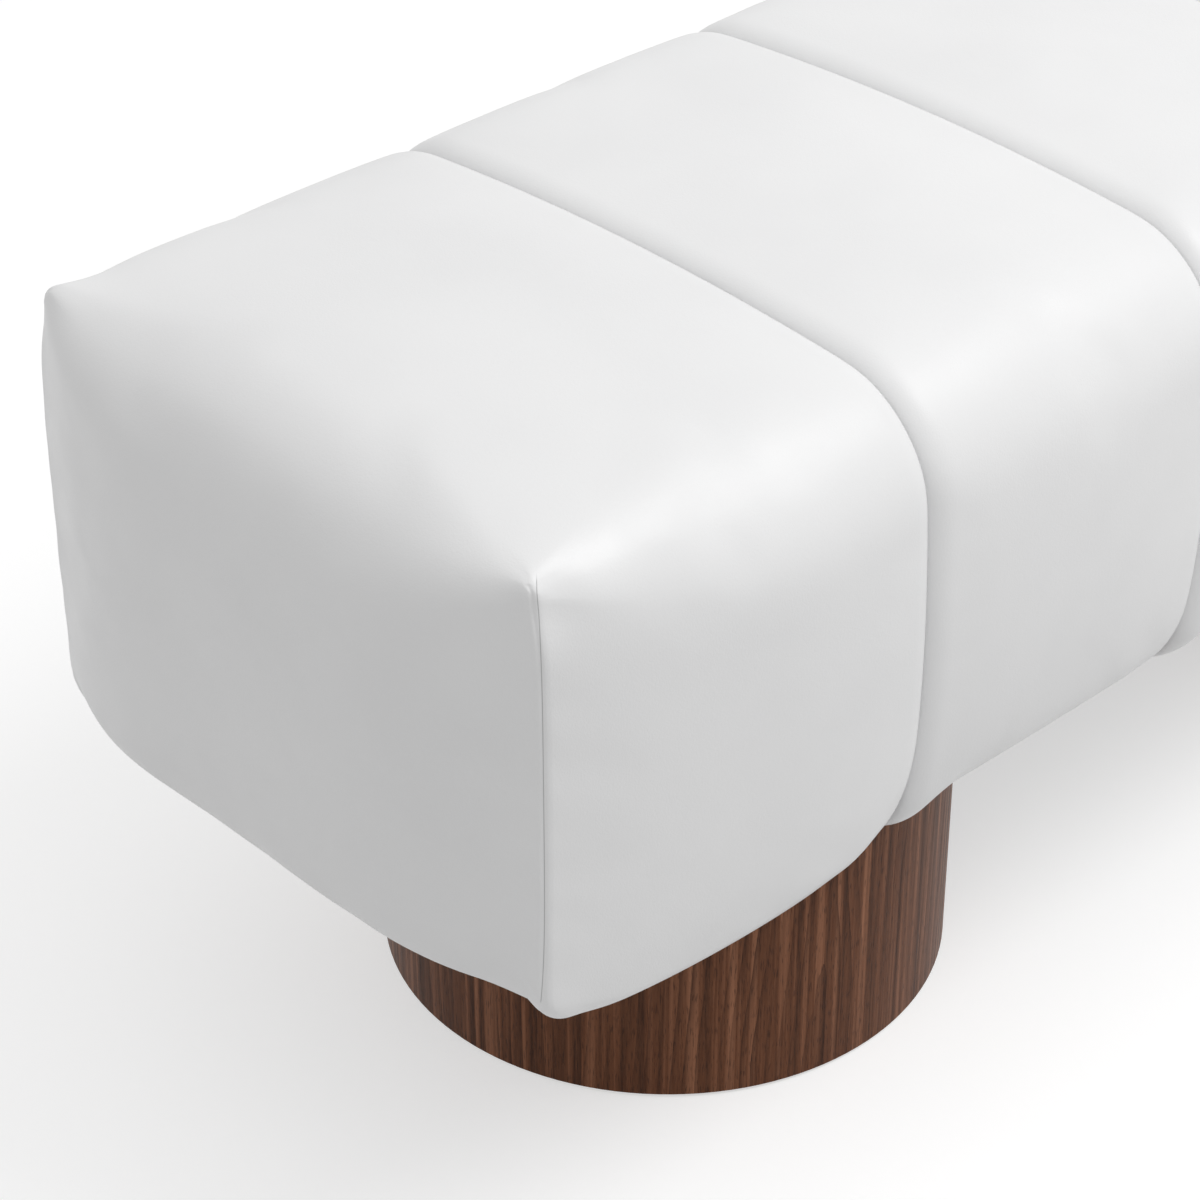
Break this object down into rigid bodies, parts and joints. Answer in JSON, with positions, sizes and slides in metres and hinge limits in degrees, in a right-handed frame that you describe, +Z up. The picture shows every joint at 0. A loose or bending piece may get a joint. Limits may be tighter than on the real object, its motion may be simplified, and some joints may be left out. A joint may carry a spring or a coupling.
{
  "type": "upholstered bench",
  "caption": "Long low bench with a puffed, channel tufted white leatherette seat on round walnut veneered drum bases.",
  "frame": {"origin": "on the floor under the middle of the bench", "axes": "+X along the bench's length, +Y from the front towards the back, +Z up; the long sides are alike"},
  "size_m": [1.181, 0.4354, 0.4574],
  "materials": {
    "leatherette": "smooth satin, fine grain",
    "wadding": "matte lofted fibre",
    "foam": "matte open cell foam",
    "dust_cloth": "matte non-woven cloth",
    "pull_cloth": "matte woven strip",
    "walnut_veneer": "satin lacquer over upright grain",
    "bent_ply": "sanded, unfinished",
    "plywood": "sanded, unfinished",
    "felt": "pressed felt",
    "zinc_steel": "zinc plated"
  },
  "bodies": {
    "root": {"back_rail": "plywood", "base_panel": "plywood", "base_screws": "zinc_steel", "channel_1_cover": "leatherette", "channel_1_side_foam": "foam", "channel_1_top_foam": "foam", "channel_1_wadding": "wadding", "channel_2_cover": "leatherette", "channel_2_side_foam": "foam", "channel_2_top_foam": "foam", "channel_2_wadding": "wadding", "channel_3_cover": "leatherette", "channel_3_side_foam": "foam", "channel_3_top_foam": "foam", "channel_3_wadding": "wadding", "channel_4_cover": "leatherette", "channel_4_side_foam": "foam", "channel_4_top_foam": "foam", "channel_4_wadding": "wadding", "channel_5_cover": "leatherette", "channel_5_side_foam": "foam", "channel_5_top_foam": "foam", "channel_5_wadding": "wadding", "corner_blocks": "plywood", "cover_staples": "zinc_steel", "cross_rib_1": "plywood", "cross_rib_2": "plywood", "cross_rib_3": "plywood", "cross_rib_4": "plywood", "deck_panel": "plywood", "deck_screws": "zinc_steel", "dust_cover": "dust_cloth", "front_rail": "plywood", "left_drum_bolts": "zinc_steel", "left_drum_bottom_ring": "bent_ply", "left_drum_felt_pads": "felt", "left_drum_posts": "bent_ply", "left_drum_shell": "bent_ply", "left_drum_t_nuts": "zinc_steel", "left_drum_top_disc": "bent_ply", "left_drum_veneer": "walnut_veneer", "left_end_foam": "foam", "left_end_rail": "plywood", "pull_strips": "pull_cloth", "right_drum_bolts": "zinc_steel", "right_drum_bottom_ring": "bent_ply", "right_drum_felt_pads": "felt", "right_drum_posts": "bent_ply", "right_drum_shell": "bent_ply", "right_drum_t_nuts": "zinc_steel", "right_drum_top_disc": "bent_ply", "right_drum_veneer": "walnut_veneer", "right_end_foam": "foam", "right_end_rail": "plywood"}
  },
  "joints": []
}
